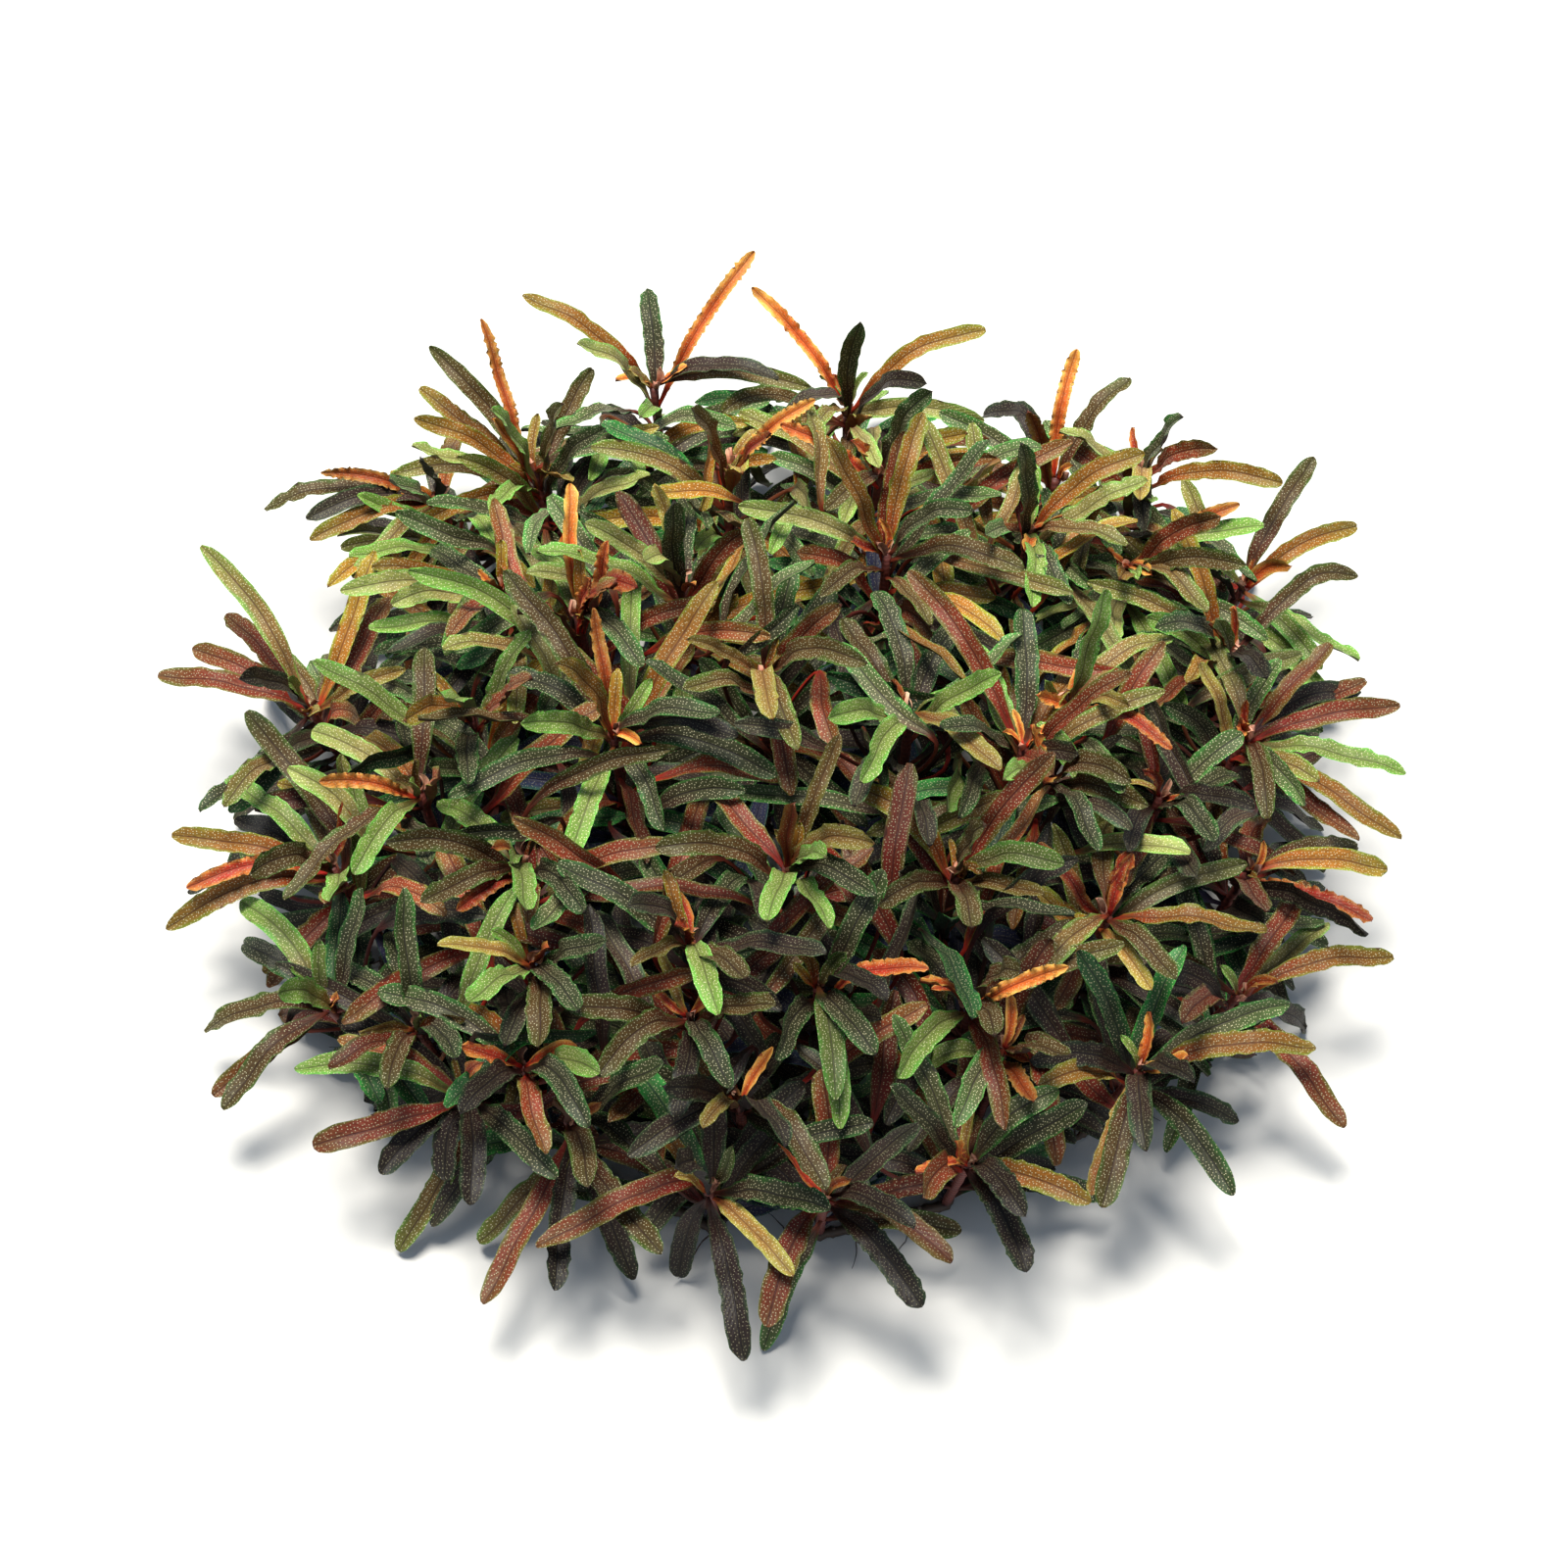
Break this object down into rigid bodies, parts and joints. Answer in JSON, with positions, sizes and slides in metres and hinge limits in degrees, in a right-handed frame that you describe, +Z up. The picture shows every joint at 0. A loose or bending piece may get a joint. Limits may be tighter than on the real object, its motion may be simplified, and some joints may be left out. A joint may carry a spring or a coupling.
{
  "type": "bucephalandra",
  "caption": "Dense low cushion of a strap-leaved water plant: rosettes of narrow wavy leaves on short stems rising from creeping rhizomes.",
  "frame": {"origin": "middle of the bounding box, on the surface that the rhizomes rest on", "axes": "+Z up, the cushion's shortest side; the picture looks along +Y from above, so -Y is its front and +X its right"},
  "size_m": [0.3236, 0.3284, 0.1008],
  "materials": {
    "leaf_green": "leathery leaf, soft gloss",
    "leaf_bronze": "leathery leaf, soft gloss",
    "leaf_dark": "leathery leaf, soft gloss",
    "rhizome_bark": "matt, knobbly"
  },
  "bodies": {
    "root": {"rhizome_1": "rhizome_bark", "rhizome_2": "rhizome_bark", "rhizome_3": "rhizome_bark", "rhizome_4": "rhizome_bark", "rhizome_5": "rhizome_bark", "rhizome_6": "rhizome_bark", "rhizome_7": "rhizome_bark", "rhizome_8": "rhizome_bark", "shoot_01": "leaf_green", "shoot_02": "leaf_green", "shoot_03": "leaf_green", "shoot_04": "leaf_green", "shoot_05": "leaf_green", "shoot_06": "leaf_green", "shoot_07": "leaf_green", "shoot_08": "leaf_dark", "shoot_09": "leaf_green", "shoot_10": "leaf_bronze", "shoot_11": "leaf_green", "shoot_12": "leaf_bronze", "shoot_13": "leaf_green", "shoot_14": "leaf_bronze", "shoot_15": "leaf_green", "shoot_16": "leaf_dark", "shoot_17": "leaf_green", "shoot_18": "leaf_green", "shoot_19": "leaf_green", "shoot_20": "leaf_green", "shoot_21": "leaf_bronze", "shoot_22": "leaf_green", "shoot_23": "leaf_green", "shoot_24": "leaf_green", "shoot_25": "leaf_green", "shoot_26": "leaf_green", "shoot_27": "leaf_green", "shoot_28": "leaf_green", "shoot_29": "leaf_green", "shoot_30": "leaf_green", "shoot_31": "leaf_green", "shoot_32": "leaf_green", "shoot_33": "leaf_green", "shoot_34": "leaf_green", "shoot_35": "leaf_green", "shoot_36": "leaf_green", "shoot_37": "leaf_green", "shoot_38": "leaf_green", "shoot_39": "leaf_green", "shoot_40": "leaf_green", "shoot_41": "leaf_green", "shoot_42": "leaf_green", "shoot_43": "leaf_green", "shoot_44": "leaf_green", "shoot_45": "leaf_green", "shoot_46": "leaf_green", "shoot_47": "leaf_green", "shoot_48": "leaf_green", "shoot_49": "leaf_dark", "shoot_50": "leaf_green"}
  },
  "joints": []
}
